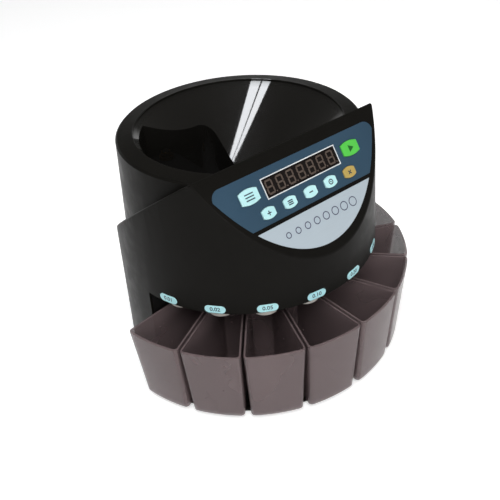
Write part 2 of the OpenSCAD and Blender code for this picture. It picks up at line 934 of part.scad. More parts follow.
module deck_screws() {
    color([0.7, 0.7, 0.72]) on_axis() on_ring(post_ring_r, post_angles) {
        rod(head_r, deck_z, deck_z + head_h);
        rod(screw_r, deck_under_z - screw_len, deck_z);
    }
}

module base_screws() {
    color([0.7, 0.7, 0.72]) on_axis() {
        on_ring(boss_ring_r, boss_angles) base_screw();
        on_ring(post_ring_r, post_angles) base_screw();
    }
}

module base_screw() {
    rod(head_r, foot_h - head_h, foot_h);
    rod(screw_r, foot_h, floor_z + screw_len);
}

module motor_screw_places() {
    translate([0, motor_d, 0]) on_ring(motor_r * 0.72, [30, 150, 270]) children();
}

module motor_screws() {
    color([0.7, 0.7, 0.72]) on_axis() motor_screw_places() {
        rod(head_r, deck_z, deck_z + head_h);
        rod(screw_r, deck_under_z - screw_len / 2, deck_z);
    }
}

module gearbox() {
    color([0.55, 0.56, 0.58]) on_axis() difference() {
        translate([0, motor_d, 0]) rod(motor_r, deck_under_z - gearbox_len, deck_under_z);
        translate([0, motor_d, 0]) rod(output_r + fit, deck_under_z - bush_len - 1, far);
        motor_screw_places() rod(screw_r + fit, deck_under_z - screw_len / 2 - 1, far);
    }
}

module drive_motor() {
    top_z = deck_under_z - gearbox_len;
    color([0.66, 0.67, 0.69]) on_axis() translate([0, motor_d, 0]) {
        rod(motor_r - 1.5, top_z - motor_len, top_z);
        rod(motor_r / 3, top_z - motor_len - 3, top_z - motor_len);
    }
}

// Power supply and rear panel
module transformer_place() {
    translate([transformer_x, supply_y, floor_z + core_h / 2]) children();
}

module transformer_core() {
    window_x = (core_limb_w + core_window_w) / 2;
    color([0.35, 0.34, 0.33]) on_axis() transformer_place() difference() {
        cube([core_w, core_d, core_h], center = true);
        for (side = [-1, 1]) translate([side * window_x, 0, 0])
            cube([core_window_w, core_d * 2, core_window_h], center = true);
    }
}

module transformer_coil() {
    coil_w = core_limb_w + 2 * core_window_w - 2 * clear;
    color([0.75, 0.6, 0.2]) on_axis() transformer_place() difference() {
        cube([coil_w, coil_d, core_window_h - 2 * clear], center = true);
        cube([core_limb_w + 2 * clear, core_d + 2 * clear, core_h * 2], center = true);
    }
}

module supply_place() {
    translate([supply_x, supply_y, floor_z + standoff_h]) children();
}

module supply_corners() {
    for (x = [-1, 1], y = [-1, 1])
        translate([x * (supply_w / 2 - standoff_inset), y * (supply_d / 2 - standoff_inset), 0]) children();
}

module power_board() {
    color([0.12, 0.38, 0.22]) on_axis() supply_place() {
        difference() {
            box_between([-supply_w / 2, -supply_d / 2, 0], [supply_w / 2, supply_d / 2, board_t]);
            supply_corners() rod(screw_r, -1, far);
        }
        for (can = CANS) translate([can[0], can[1], board_t / 2]) cylinder(h = can[3], r = can[2]);
        for (block = BLOCKS) translate([block[0], block[1], board_t / 2])
            cube([block[2], block[3], block[4]]);
    }
}

module board_standoffs() {
    color([0.85, 0.85, 0.83]) on_axis() supply_place() supply_corners() {
        rod(standoff_r, -standoff_h, 0);
        rod(screw_r - fit, -fit, board_t * 2);
    }
}

module rear_place(x) {
    translate([x, recess_d, recess_z]) children();
}

// Box of a fitting in the rear plate, from a depth behind its face to a height before it
module fitting_box(w, h, grow, depth, height) {
    box_between([-w / 2 - grow, -depth, -h / 2 - grow], [w / 2 + grow, height, h / 2 + grow]);
}

module rear_plate() {
    color([0.14, 0.14, 0.15]) on_axis() difference() {
        recess_block(wall, recess_d - base_t, recess_d);
        rear_place(inlet_x) fitting_box(inlet_w, inlet_h, panel_gap, wall * 4, wall * 4);
        rear_place(switch_x) fitting_box(switch_w, switch_tall, panel_gap, wall * 4, wall * 4);
    }
}

module mains_inlet() {
    color([0.08, 0.08, 0.08]) on_axis() rear_place(inlet_x) {
        difference() {
            union() {
                fitting_box(inlet_w, inlet_h, flange_w, 0, flange_t);
                fitting_box(inlet_w, inlet_h, 0, inlet_len, flange_t / 2);
            }
            fitting_box(inlet_w, inlet_h, -socket_wall, socket_depth, flange_t * 4);
        }
        for (pin = PINS) translate([pin.x, 0, pin.y])
            fitting_box(pin_w, pin_h, 0, socket_depth + 1, pin_len - socket_depth - 1);
    }
}

module rocker_pin(r, length) {
    rotate([0, 90, 0]) rod(r, -length / 2, length / 2);
}

module power_switch_body() {
    color([0.08, 0.08, 0.08]) on_axis() rear_place(switch_x) difference() {
        union() {
            fitting_box(switch_w, switch_tall, flange_w, 0, flange_t);
            fitting_box(switch_w, switch_tall, 0, switch_depth, flange_t / 2);
        }
        fitting_box(rocker_w + 2 * clear, rocker_h + 2 * rocker_swing, 0, rocker_room, flange_t * 4);
        rocker_pin(rocker_pin_r + 0.1, rocker_pin_len + 2 * panel_gap);
    }
}

// The rocker swings through twice the angle at which it rests
module power_rocker() {
    back = rocker_room - 3.5;
    half = rocker_h / 2;
    face = 3.4;
    color([0.1, 0.1, 0.1]) on_axis() rear_place(switch_x) rotate([-rocker_tip, 0, 0]) {
        rotate([90, 0, 90]) translate([0, 0, -rocker_w / 2]) linear_extrude(rocker_w)
            polygon([[-back, -half / 2], [-back, half / 2], [face - rocker_pin_r, half], [face, half],
                [face - 1.4, 0], [face, -half], [face - rocker_pin_r, -half]]);
        rocker_pin(rocker_pin_r, rocker_pin_len);
    }
}

base_pan();
rubber_feet();
main_housing();
hopper_bowl();
panel_overlay();
nameplate();
display_window();
display_frame();
display_module();
control_board();
tact_switches();
denomination_labels();
coin_chutes();
sorting_plate();
plate_spacers();
sensor_board();
bay_wall();
deck_plate();
deck_posts();
bearing_housing();
shaft_bushes();
gearbox();
drive_motor();
drive_belt();
transformer_core();
transformer_coil();
power_board();
board_standoffs();
rear_plate();
mains_inlet();
power_switch_body();
base_screws();
deck_screws();
board_screws();
motor_screws();
carrier_disc();
drive_shaft();
driven_pulley();
hub_nut();
motor_pulley();
power_rocker();
cup(1);  // cup_1
cup(2);  // cup_2
cup(3);  // cup_3
cup(4);  // cup_4
cup(5);  // cup_5
cup(6);  // cup_6
cup(7);  // cup_7
cup(8);  // cup_8
key(0, PALE);  // key_list
key(1, [0.35, 0.78, 0.31]);  // key_start
key(2, PALE);  // key_plus
key(3, PALE);  // key_batch
key(4, PALE);  // key_minus
key(5, PALE);  // key_set
key(6, [0.75, 0.65, 0.35]);  // key_clear
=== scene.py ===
# %% [markdown]
# # A counter-top coin sorter
# Coins poured into the round hopper slide down a funnel on to a turning disc, drop through graded holes and land
# in eight smoke-tinted cups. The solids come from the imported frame, already at their real size and place. This
# script gives each of them its finish, and models again the pieces whose soft edges, printing or fine detail a
# plain solid leaves out.

# %% Load the frame
import json
import math

import bmesh
import bpy
from mathutils import Matrix, Vector

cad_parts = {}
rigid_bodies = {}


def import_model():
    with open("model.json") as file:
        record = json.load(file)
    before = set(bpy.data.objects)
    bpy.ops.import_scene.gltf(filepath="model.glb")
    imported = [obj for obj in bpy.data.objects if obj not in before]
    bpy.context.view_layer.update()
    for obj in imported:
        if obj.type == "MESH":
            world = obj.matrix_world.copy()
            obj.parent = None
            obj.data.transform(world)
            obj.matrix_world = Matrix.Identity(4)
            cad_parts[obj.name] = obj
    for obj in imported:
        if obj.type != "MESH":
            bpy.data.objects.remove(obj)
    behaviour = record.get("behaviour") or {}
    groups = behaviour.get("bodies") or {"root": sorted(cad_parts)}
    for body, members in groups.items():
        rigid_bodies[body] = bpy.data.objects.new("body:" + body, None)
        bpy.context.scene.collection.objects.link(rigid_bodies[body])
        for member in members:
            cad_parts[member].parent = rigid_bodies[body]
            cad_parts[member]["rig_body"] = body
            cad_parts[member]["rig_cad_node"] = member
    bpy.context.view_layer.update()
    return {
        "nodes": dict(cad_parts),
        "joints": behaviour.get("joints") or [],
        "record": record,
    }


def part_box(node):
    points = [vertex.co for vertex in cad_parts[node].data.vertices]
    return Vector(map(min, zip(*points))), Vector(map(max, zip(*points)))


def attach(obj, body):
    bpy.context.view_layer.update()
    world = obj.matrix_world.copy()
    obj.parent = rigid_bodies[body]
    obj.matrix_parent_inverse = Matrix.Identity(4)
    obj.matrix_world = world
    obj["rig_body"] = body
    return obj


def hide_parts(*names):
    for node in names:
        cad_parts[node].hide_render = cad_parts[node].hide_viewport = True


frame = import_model()

# %% [markdown]
# ## Where things are
# The drum, the body and the fan of cups all stand round one upright axis, and the keys travel square to the sloping
# panel. Both directions are read from the joints, so nothing is measured twice.

# %% Read the axes from the joints
MM = 0.001
joints = {joint["name"]: joint for joint in frame["joints"]}
axis_y = joints["rotor_spin"]["pos_m"][1]
panel_out = -Vector(joints["key_start_press"]["axis"]).normalized()
panel_right = Vector((1, 0, 0))
panel_up = panel_out.cross(panel_right)
panel_height = max(panel_out.dot(v.co) for v in frame["nodes"]["panel_overlay"].data.vertices)
cup_angles = []
for number in range(1, 9):
    slide = joints[f"cup_{number}_slide"]["axis"]
    cup_angles.append(math.atan2(slide[1], slide[0]))
print("axis at y", axis_y, "panel faces", [round(x, 3) for x in panel_out])


def round_axis(radius, angle, height):
    """A point at a radius from the drum's axis"""
    return Vector((radius * math.cos(angle), axis_y + radius * math.sin(angle), height))


def on_panel(centre, right, up, out):
    """A point on the panel's face, counted from a point over the panel"""
    foot = centre + panel_out * (panel_height - panel_out.dot(centre))
    return foot + panel_right * right + panel_up * up + panel_out * out


# %% [markdown]
# ## Modelling by hand, in code
# Operators act on whatever is selected, so each step first takes one object alone, and then picks vertices, edges or
# faces by where they are or where they face.

# %% Small helpers for the operators
def take(obj):
    """Selects one object alone"""
    bpy.ops.object.select_all(action="DESELECT")
    obj.select_set(True)
    bpy.context.view_layer.objects.active = obj
    return obj


def made(name):
    """The primitive that was just added, under its name"""
    obj = bpy.context.active_object
    obj.name = name
    obj.data.name = name
    return take(obj)


def edit(obj, kind):
    """Opens an object for editing with nothing selected"""
    take(obj)
    bpy.ops.object.mode_set(mode="EDIT")
    bpy.ops.mesh.select_mode(type=kind)
    bpy.ops.mesh.select_all(action="DESELECT")


def pick(obj, parts, test):
    """Selects the verts, edges or faces that pass a test"""
    mesh = bmesh.from_edit_mesh(obj.data)
    found = [part for part in getattr(mesh, parts) if test(part)]
    for part in found:
        part.select_set(True)
    mesh.select_flush_mode()
    bmesh.update_edit_mesh(obj.data)
    return len(found)


def close():
    bpy.ops.object.mode_set(mode="OBJECT")


def apply(obj, kind, **settings):
    """Adds a modifier and applies it"""
    take(obj)
    modifier = obj.modifiers.new(kind.lower(), kind)
    for key, value in settings.items():
        setattr(modifier, key, value)
    bpy.ops.object.modifier_apply(modifier=modifier.name)


def settle(obj):
    """Moves an object's place into its mesh"""
    take(obj)
    bpy.ops.object.transform_apply(location=True, rotation=True, scale=True)
    return obj


def smooth(obj, degrees):
    """Smooth faces with crisp edges, and flat faces that stay flat"""
    take(obj)
    bpy.ops.object.shade_smooth_by_angle(angle=math.radians(degrees))
    apply(obj, "WEIGHTED_NORMAL", keep_sharp=True)


def join(parts, name):
    """Several objects as one piece"""
    take(parts[0])
    if len(parts) > 1:
        for part in parts:
            part.select_set(True)
        bpy.ops.object.join()
    return made(name)


def copy_of(node, name):
    """A solid's copy with its loose triangles merged and its flat faces whole"""
    obj = frame["nodes"][node].copy()
    obj.data = obj.data.copy()
    obj.name = name
    obj.parent = None
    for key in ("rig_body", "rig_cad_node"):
        del obj[key]
    bpy.context.scene.collection.objects.link(obj)
    take(obj)
    bpy.ops.mesh.customdata_custom_splitnormals_clear()
    edit(obj, "VERT")
    bpy.ops.mesh.select_all(action="SELECT")
    bpy.ops.mesh.remove_doubles(threshold=0.001 * MM)
    bpy.ops.mesh.dissolve_limited(angle_limit=math.radians(0.2))
    close()
    return obj


def dress(obj, finish, body, *nodes, slot=None):
    """Gives a piece its finish and the body that it moves with"""
    obj.data.materials.clear()
    obj.data.materials.append(finish.material)
    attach(obj, body)
    if nodes:
        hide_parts(*nodes)
    return obj


# %% [markdown]
# ## Writing finishes as sums
# A finish is a node tree, but its maths reads better as Python. A Wire stands for a socket's value, and adding,
# multiplying or raising Wires adds the Math nodes.

# %% Wires and finishes
class Wire:
    """The value that comes out of a socket"""

    def __init__(self, owner, socket):
        self.owner = owner
        self.socket = socket

    def maths(self, operation, first, second):
        return self.owner.node("Math", {"operation": operation}, {0: first, 1: second})

    def __add__(self, other):
        return self.maths("ADD", self, other)

    def __sub__(self, other):
        return self.maths("SUBTRACT", self, other)

    def __rsub__(self, other):
        return self.maths("SUBTRACT", other, self)

    def __mul__(self, other):
        return self.maths("MULTIPLY", self, other)

    def __pow__(self, other):
        return self.maths("POWER", self, other)

    __radd__ = __add__
    __rmul__ = __mul__


class Tree:
    """A node tree that ends in one shader"""

    def __init__(self, tree, shader):
        self.tree = tree
        self.shader = tree.nodes[shader]

    def node(self, kind, settings, values, out=0):
        """Adds a node, sets it up, and fills or links its sockets"""
        node = self.tree.nodes.new("ShaderNode" + kind)
        for key, value in settings.items():
            if key == "stops":
                node.color_ramp.elements[0].position = value[0]
                node.color_ramp.elements[1].position = value[1]
            else:
                setattr(node, key, value)
        for key, value in values.items():
            if isinstance(value, Wire):
                self.tree.links.new(value.socket, node.inputs[key])
            else:
                node.inputs[key].default_value = value
        return Wire(self, node.outputs[out])

    def feed(self, socket, wire):
        self.tree.links.new(wire.socket, self.shader.inputs[socket])

    def steps(self, wire, low, high):
        """0 below the low value and 1 above the high one"""
        return self.node("ValToRGB", {"stops": (low, high)}, {"Fac": wire})

    def between(self, factor, first, second):
        """A colour between two colours"""
        return self.node("Mix", {"data_type": "RGBA"}, {0: factor, 6: first, 7: second}, 2)

    def by_ray(self, shown, other):
        """A colour that the camera, gloss and clear plastic show, and one that only lights the machine"""
        camera, glossy, clear = [
            self.node("LightPath", {}, {}, f"Is {kind} Ray") for kind in ("Camera", "Glossy", "Transmission")]
        return self.between(camera + glossy + clear, other, shown)


class Finish(Tree):
    """One material: its constants are set on the shader, and what varies is fed to it"""

    def __init__(self, name, colour, roughness, **constants):
        self.material = bpy.data.materials.new(name)
        self.material.use_nodes = True
        super().__init__(self.material.node_tree, "Principled BSDF")
        self.colour = colour
        self.shader.inputs["Base Color"].default_value = (*colour, 1)
        self.shader.inputs["Roughness"].default_value = roughness
        for key, value in constants.items():
            self.shader.inputs[key.replace("_", " ")].default_value = value
        self.place = self.node("TexCoord", {}, {}, "Object")

    def stretched(self, scale):
        return self.node("Mapping", {}, {"Vector": self.place, "Scale": scale})

    def noise(self, size, detail=2, place=None):
        """Noise with features of about this size, in metres"""
        return self.node("TexNoise", {}, {"Vector": place or self.place, "Scale": 1 / size, "Detail": detail})

    def tint(self, factor, low, high):
        """Feeds a base colour that varies between two shades of the colour"""
        shades = [(*[min(1, c * share) for c in self.colour], 1) for share in (low, high)]
        self.feed("Base Color", self.between(factor, *shades))

    def bump(self, height, depth, strength=1.0):
        self.feed("Normal", self.node("Bump", {}, {"Height": height, "Distance": depth, "Strength": strength}))


def srgb(red, green, blue):
    """A colour as it is read off a screen, 0 to 255, as a linear colour"""
    shares = [value / 255 for value in (red, green, blue)]
    return tuple(s / 12.92 if s < 0.04045 else ((s + 0.055) / 1.055) ** 2.4 for s in shares)


# %% [markdown]
# ## Moulded plastics
# The body is satin black with a fine spark-eroded grain, and the panel's pieces are smoother. A single colour would
# look like a toy, so every plastic here has faint clouds and rubbed patches, which vary its roughness more than its
# colour, and a grain of its own size in the bump.

# %% Plastic finishes
def plastic(name, colour, roughness, grain=0.5 * MM, depth=0.02 * MM, rubbed=0.3, **constants):
    """A plastic whose clouds and rubbed patches vary its roughness by a share"""
    finish = Finish(name, colour, roughness, **constants)
    clouds = finish.noise(60 * MM, 3)
    finish.tint(clouds, 0.82, 1.2)
    rubs = finish.steps(finish.noise(14 * MM, 6), 0.45, 0.75)
    finish.feed("Roughness", (clouds * 0.25 - rubs * rubbed + (0.9 + rubbed / 3)) * roughness)
    finish.bump(finish.noise(grain, 2), depth)
    return finish


body_black = plastic("body_black", srgb(22, 21, 19), 0.36, Specular_IOR_Level=0.05)
bay_black = plastic("bay_black", srgb(22, 21, 21), 0.5, Specular_IOR_Level=0.25)
inlet_black = plastic("inlet_black", srgb(20, 20, 20), 0.45)
disc_grey = plastic("disc_grey", srgb(62, 62, 65), 0.4, rubbed=0.5)
chute_white = plastic("chute_white", srgb(222, 216, 208), 0.35)
pulley_white = plastic("pulley_white", srgb(214, 213, 206), 0.45)
key_cyan = plastic("key_cyan", srgb(196, 251, 255), 0.35, grain=0.8 * MM, depth=0.01 * MM)
key_green = plastic("key_green", srgb(88, 200, 78), 0.35, grain=0.8 * MM, depth=0.01 * MM)
key_tan = plastic("key_tan", srgb(192, 165, 92), 0.35, grain=0.8 * MM, depth=0.01 * MM)
label_cyan = plastic("label_cyan", srgb(186, 242, 255), 0.4, grain=2 * MM, depth=0.005 * MM)
overlay_blue = plastic("overlay_blue", srgb(50, 75, 94), 0.42, grain=0.35 * MM, depth=0.012 * MM,
                       Specular_IOR_Level=0.3)
frame_white = plastic("frame_white", srgb(226, 230, 232), 0.4)
window_smoke = plastic("window_smoke", srgb(24, 19, 18), 0.12, grain=40 * MM, depth=0.01 * MM)
display_dark = plastic("display_dark", srgb(40, 34, 32), 0.5)
switch_black = plastic("switch_black", srgb(36, 36, 36), 0.5)
segment_brown = plastic("segment_brown", srgb(84, 72, 64), 0.45)
ink_dark = plastic("ink_dark", srgb(38, 60, 76), 0.5)
ink_navy = plastic("ink_navy", srgb(62, 66, 98), 0.5)
ink_green = plastic("ink_green", srgb(24, 96, 30), 0.5)
rubber_black = plastic("rubber_black", srgb(30, 30, 30), 0.8, grain=0.9 * MM, depth=0.08 * MM)
print("plastics made:", len(bpy.data.materials))

# %% [markdown]
# ## The polished funnel
# The hopper is one moulding, satin outside like the body and polished inside, so that coins slide. A second material
# on the inner faces would leave a hard border. One material does it with a clear coat, whose weight falls to nothing
# at the mouth, by the distance from the drum's axis.

# %% Hopper finish
POLISH_ENDS = (105 * MM, 107 * MM)
hopper_black = plastic("hopper_black", srgb(22, 21, 19), 0.36, Specular_IOR_Level=0.05, Coat_Roughness=0.03)
level_place = hopper_black.node("Mapping", {}, {
    "Vector": hopper_black.place, "Location": (0, -axis_y, 0), "Scale": (1, 1, 0)})
from_axis = hopper_black.node("VectorMath", {"operation": "LENGTH"}, {0: level_place}, "Value")
hopper_black.feed("Coat Weight", 1 - hopper_black.steps(from_axis, *POLISH_ENDS))
print("polish ends at mm:", [round(end / MM) for end in POLISH_ENDS])

# %% [markdown]
# ## Smoke-tinted cups
# The cups are moulded in a smoky, slightly see-through plastic. Real refraction would cost time and add little in a
# wall of two millimetres, so a lowered alpha lets what lies behind show through, and the clouds of the resin vary it.

# %% Cup finish
cup_smoke = Finish("cup_smoke", srgb(125, 109, 110), 0.25, Specular_IOR_Level=0.3)
cup_clouds = cup_smoke.noise(70 * MM, 2)
cup_smoke.tint(cup_clouds, 0.9, 1.1)
cup_scuffs = cup_smoke.steps(cup_smoke.noise(9 * MM, 5), 0.5, 0.8)
cup_smoke.feed("Roughness", cup_scuffs * 0.1 + 0.2)
cup_smoke.feed("Alpha", cup_clouds * 0.08 + 0.64)
cup_smoke.bump(cup_smoke.noise(40 * MM, 1), 0.04 * MM)
print("cup nodes:", len(cup_smoke.tree.nodes))

# %% [markdown]
# ## Metals, boards and windings
# The mechanism is steel and zinc plate with a drawn grain, two bronze bushes, green circuit boards and a
# transformer. None of it is polished, so each has its own streaks or bands.

# %% Metal and inner finishes
def metal(name, colour, roughness, streak=(1, 1, 12), **constants):
    finish = Finish(name, colour, roughness, Metallic=1.0, **constants)
    streaks = finish.noise(1.2 * MM, 4, finish.stretched(streak))
    finish.tint(streaks, 0.85, 1.1)
    finish.feed("Roughness", streaks * 0.2 + (roughness - 0.1))
    finish.bump(streaks, 0.01 * MM)
    return finish


steel = metal("steel", srgb(196, 197, 200), 0.32)
deck_steel = metal("deck_steel", srgb(168, 170, 173), 0.42, streak=(1, 14, 1))
motor_zinc = metal("motor_zinc", srgb(172, 174, 176), 0.38, streak=(1, 1, 0.1))
bearing_grey = metal("bearing_grey", srgb(160, 160, 164), 0.5)
bush_bronze = metal("bush_bronze", srgb(190, 150, 92), 0.4)
nameplate_silver = Finish("nameplate_silver", srgb(195, 208, 217), 0.42, Metallic=0.25)
plate_grain = nameplate_silver.noise(0.4 * MM, 3, nameplate_silver.stretched((0.02, 1, 1)))
nameplate_silver.tint(plate_grain, 0.93, 1.05)
nameplate_silver.feed("Roughness", plate_grain * 0.16 + 0.34)

board_green = Finish("board_green", srgb(24, 92, 52), 0.4)
tracks = board_green.node("TexBrick", {"offset": 0.5}, {"Vector": board_green.place, "Scale": 180.0}, "Fac")
board_green.tint(tracks, 1.0, 1.6)
board_green.bump(tracks, 0.03 * MM)

core_grey = Finish("core_grey", srgb(92, 90, 88), 0.5, Metallic=0.6)
sheets = core_grey.node("TexWave", {"bands_direction": "Y"}, {"Vector": core_grey.place, "Scale": 320.0}, "Fac")
core_grey.tint(sheets, 0.7, 1.15)
core_grey.bump(sheets, 0.05 * MM)

coil_copper = Finish("coil_copper", srgb(176, 104, 46), 0.32, Metallic=0.7)
turns = coil_copper.node("TexWave", {"bands_direction": "Z"}, {"Vector": coil_copper.place, "Scale": 400.0}, "Fac")
coil_copper.tint(turns, 0.55, 1.15)
coil_copper.bump(turns, 0.2 * MM)

SLOT_FINISHES = {
    "body_black": body_black, "hopper_black": hopper_black, "rubber_black": rubber_black,
    "overlay_blue": overlay_blue, "nameplate_silver": nameplate_silver, "window_smoke": window_smoke,
    "frame_white": frame_white, "display_dark": display_dark, "board_green": board_green,
    "switch_black": switch_black, "label_cyan": label_cyan, "chute_white": chute_white, "steel": steel,
    "deck_steel": deck_steel, "bearing_grey": bearing_grey, "bush_bronze": bush_bronze, "motor_zinc": motor_zinc,
    "core_grey": core_grey, "coil_copper": coil_copper, "pulley_white": pulley_white, "inlet_black": inlet_black,
    "disc_grey": disc_grey, "cup_smoke": cup_smoke, "key_cyan": key_cyan, "key_green": key_green, "key_tan": key_tan,
}
node_slots = {part["node"]: part["material_slot"] for part in frame["record"]["subparts"]}
for node, slot in node_slots.items():
    slots = frame["nodes"][node].data.materials
    slots.clear()
    slots.append(SLOT_FINISHES[slot].material)
frame["nodes"]["bay_wall"].data.materials[0] = bay_black.material
print("finishes on solids:", len(node_slots))

# %% [markdown]
# ## The round body
# The moulding's outer corners are eased, and light catches on them. A bevel on the solid itself would run into its
# many openings. So a block of the same outline is cut from a cone by the panel's and the shoulder's planes, its edges
# are bevelled, and the solid's copy is trimmed to it.

# %% Body with eased edges
BODY_FOOT_R = 145 * MM
BODY_DRAFT = math.radians(1.7)
BLOCK_TOP = 280 * MM
SHOULDER_Z = 203 * MM
SHOULDER_SLOPE = math.radians(36.8)
ROUND_SIDES = 256
SOFT_ANGLE = 24
SKIN = 0.12 * MM
BODY_EDGE = 2.4 * MM
CLOSE_BY = 2 * MM


def trim(obj, tool):
    """Keeps what of an object lies inside a tool"""
    apply(obj, "BOOLEAN", operation="INTERSECT", solver="EXACT", object=tool)
    bpy.data.objects.remove(tool)


bpy.ops.object.select_all(action="DESELECT")
bpy.ops.mesh.primitive_cone_add(
    vertices=ROUND_SIDES, radius1=BODY_FOOT_R + SKIN, radius2=BODY_FOOT_R - BLOCK_TOP * math.tan(BODY_DRAFT) + SKIN,
    depth=BLOCK_TOP, location=(0, axis_y, BLOCK_TOP / 2))
block = settle(made("body_block"))
shoulder_out = Vector((0, math.sin(SHOULDER_SLOPE), math.cos(SHOULDER_SLOPE)))
shoulder_foot = Vector((0, axis_y, SHOULDER_Z))
edit(block, "EDGE")
for foot, out in ((panel_out * panel_height, panel_out), (shoulder_foot, shoulder_out)):
    bpy.ops.mesh.select_all(action="SELECT")
    bpy.ops.mesh.bisect(plane_co=foot + out * SKIN, plane_no=out, use_fill=True, clear_outer=True)
bpy.ops.mesh.select_all(action="SELECT")
bpy.ops.mesh.remove_doubles(threshold=CLOSE_BY)


def sharp_above_floor(edge):
    return min(v.co.z for v in edge.verts) > 20 * MM and edge.calc_face_angle(0) > math.radians(12)


bpy.ops.mesh.select_all(action="DESELECT")
corners = pick(block, "edges", sharp_above_floor)
bpy.ops.mesh.bevel(offset=BODY_EDGE, segments=5, affect="EDGES", clamp_overlap=False)
close()
housing = copy_of("main_housing", "housing_shell")
trim(housing, block)
smooth(housing, SOFT_ANGLE)
dress(housing, body_black, "chassis", "main_housing", slot="body_black")
print("corners eased:", corners, "faces:", len(housing.data.polygons))

# %% [markdown]
# ## The hopper
# Its rim is broad and softly rounded outside, with a smaller round at the mouth. A drum-shaped block with both
# rounds trims the solid's copy in the same way as the body's.

# %% Hopper with a rounded rim
RIM_Z = 252.5 * MM
RIM_RISE = 2 * MM
DRUM_R = 125 * MM
MOUTH_R = 107 * MM
DRUM_DRAFT = math.radians(2.9)
DRUM_LOW = 60 * MM
RIM_ROUND = 2.2 * MM
MOUTH_ROUND = 1.1 * MM
MOUTH_DROP = 2.3 * MM

bpy.ops.object.select_all(action="DESELECT")
bpy.ops.mesh.primitive_cone_add(
    vertices=ROUND_SIDES, radius1=DRUM_R + (RIM_Z - DRUM_LOW) * math.tan(DRUM_DRAFT) + SKIN, radius2=DRUM_R + SKIN,
    depth=RIM_Z + SKIN - DRUM_LOW, location=(0, axis_y, (RIM_Z + SKIN + DRUM_LOW) / 2))
drum = settle(made("drum_block"))
edit(drum, "FACE")
pick(drum, "faces", lambda face: face.normal.z > 0.9)
bpy.ops.mesh.inset(thickness=DRUM_R + SKIN - MOUTH_R)
bpy.ops.transform.translate(value=(0, 0, RIM_RISE))
bpy.ops.mesh.inset(thickness=SKIN)
bpy.ops.transform.translate(value=(0, 0, -MOUTH_DROP))


def on_ring(radius, reach):
    def test(edge):
        sizes = [math.hypot(v.co.x, v.co.y - axis_y) for v in edge.verts]
        level = abs(edge.verts[0].co.z - edge.verts[1].co.z) < SKIN / 10
        return level and edge.verts[0].co.z > RIM_Z - MM and all(abs(size - radius) < reach for size in sizes)
    return test


for radius, rounding in ((MOUTH_R, MOUTH_ROUND), (DRUM_R + SKIN, RIM_ROUND)):
    bpy.ops.mesh.select_mode(type="EDGE")
    bpy.ops.mesh.select_all(action="DESELECT")
    rim_edges = pick(drum, "edges", on_ring(radius, SKIN / 2))
    bpy.ops.mesh.bevel(offset=rounding, segments=6, affect="EDGES")
close()
hopper = copy_of("hopper_bowl", "hopper_shell")
trim(hopper, drum)
print("rim edges rounded:", rim_edges)

# %% [markdown]
# ## A funnel that mirrors evenly
# A polished cone shows every uneven facet as a jog in its reflections. Faces on the funnel are cut finer, and each of
# their corners then gets the normal of a true cone, which is simpler than building the funnel again.

# %% True normals in the funnel
FUNNEL_SLOPE = math.radians(44)
FUNNEL_CUTS = 2
LIKE_FUNNEL = 0.97


def funnel_normal(point):
    """The direction that a true funnel faces at a point"""
    inward = Vector((-point.x, axis_y - point.y, 0)).normalized()
    return inward * math.sin(FUNNEL_SLOPE) + Vector((0, 0, math.cos(FUNNEL_SLOPE)))


def on_funnel(normal, centre):
    return normal.dot(funnel_normal(centre)) > LIKE_FUNNEL


edit(hopper, "FACE")
pick(hopper, "faces", lambda face: on_funnel(face.normal, face.calc_center_median()))
bpy.ops.mesh.quads_convert_to_tris()
bpy.ops.mesh.subdivide(number_cuts=FUNNEL_CUTS)
close()
smooth(hopper, SOFT_ANGLE)
normals = [corner.vector.copy() for corner in hopper.data.corner_normals]
funnel_points = []
for face in hopper.data.polygons:
    if on_funnel(face.normal, face.center):
        for corner in face.loop_indices:
            point = hopper.data.vertices[hopper.data.loops[corner].vertex_index].co
            normals[corner] = funnel_normal(point)
            funnel_points.append(point)
hopper.data.normals_split_custom_set(normals)
dress(hopper, hopper_black, "chassis", "hopper_bowl", slot="hopper_black")
print("corners on the funnel:", len(funnel_points), "faces:", len(hopper.data.polygons))

# %% [markdown]
# ## The cups
# A cup is a wedge with rounded corners that narrows to its floor. Two rings of a cylinder are moved on to the
# wedge's outline at the rim and the floor, the floor's edge is rounded, the top is opened and the wall gets its
# thickness. The first cup is modelled, and the others are turned copies.

# %% One cup, then a fan of eight
CUP_PITCH = math.radians(20.74)
CUP_WALL = 2 * MM
CUP_CORNER_R = 4.5 * MM
CUP_FLOOR_ROUND = 1.8 * MM
CUP_RIM_ROUND = 0.7 * MM
RIM_OUTLINE = (177.5 * MM, 80 * MM, 2.4 * MM)
FLOOR_OUTLINE = (170 * MM, 83 * MM, 5.6 * MM)
cup_low, cup_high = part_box("cup_4")


def arc(centre, radius, start, end, steps):
    angles = [start + (end - start) * i / steps for i in range(steps + 1)]
    return [(centre[0] + radius * math.cos(a), centre[1] + radius * math.sin(a)) for a in angles]


def wedge(outer_r, back_r, gap):
    """Outline of a cup round the X axis, counter-clockwise"""
    half = CUP_PITCH / 2
    inset = gap / 2 + CUP_CORNER_R
    reach = outer_r - CUP_CORNER_R
    lean = half - math.asin(inset / reach)
    back_x = back_r + CUP_CORNER_R
    back_y = (back_x * math.sin(half) - inset) / math.cos(half)
    side = arc((0, 0), outer_r, lean / 8, lean * 7 / 8, 7)
    side += arc((reach * math.cos(lean), reach * math.sin(lean)), CUP_CORNER_R, lean, half + math.pi / 2, 8)
    side += arc((back_x, back_y), CUP_CORNER_R, half + math.pi / 2, math.pi, 6)
    side += [(back_r, back_y / 2), (back_r, back_y / 5)]
    return side + [(x, -y) for x, y in reversed(side)]


def ring_of(obj, height):
    """A ring of vertices in the order of their angle"""
    ring = [v for v in obj.data.vertices if abs(v.co.z - height) < MM]
    return sorted(ring, key=lambda v: math.atan2(v.co.y, v.co.x) % math.tau)


